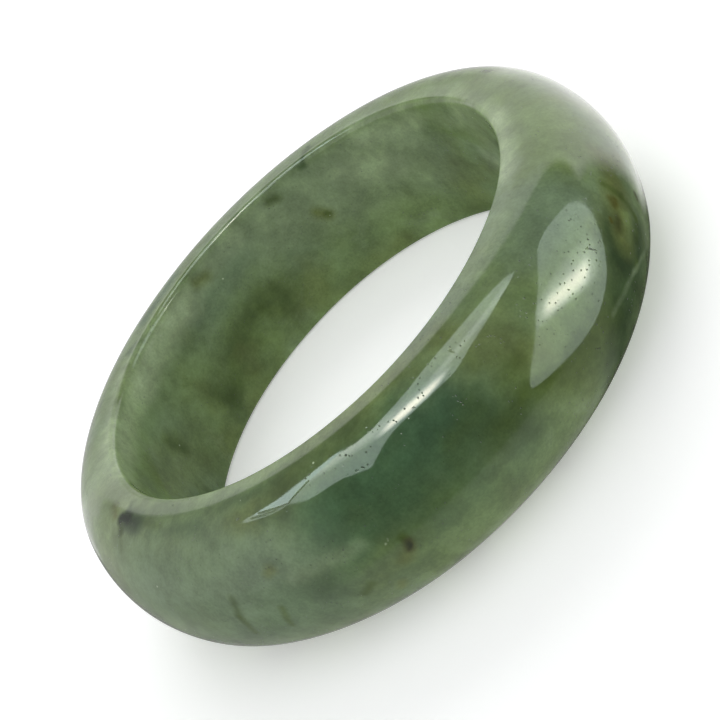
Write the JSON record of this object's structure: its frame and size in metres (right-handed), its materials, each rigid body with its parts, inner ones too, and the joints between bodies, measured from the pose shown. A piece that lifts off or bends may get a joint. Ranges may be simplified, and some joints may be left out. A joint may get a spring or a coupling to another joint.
{
  "type": "bangle bracelet",
  "caption": "One-piece polished jade bangle: a closed ring with a straight round bore, rounded bore edges and a wide domed outside.",
  "frame": {"origin": "centre of the bore, halfway across the band, which is also the centre of the bounding box", "axes": "+Z is the ring's axis, along which the hand goes through; the ring is round about it, so X and Y are interchangeable and -Z is the side it rests on when laid flat"},
  "size_m": [0.0756, 0.0756, 0.0192],
  "materials": {
    "jade": "polished"
  },
  "bodies": {
    "root": {"jade_ring": "jade"}
  },
  "joints": []
}
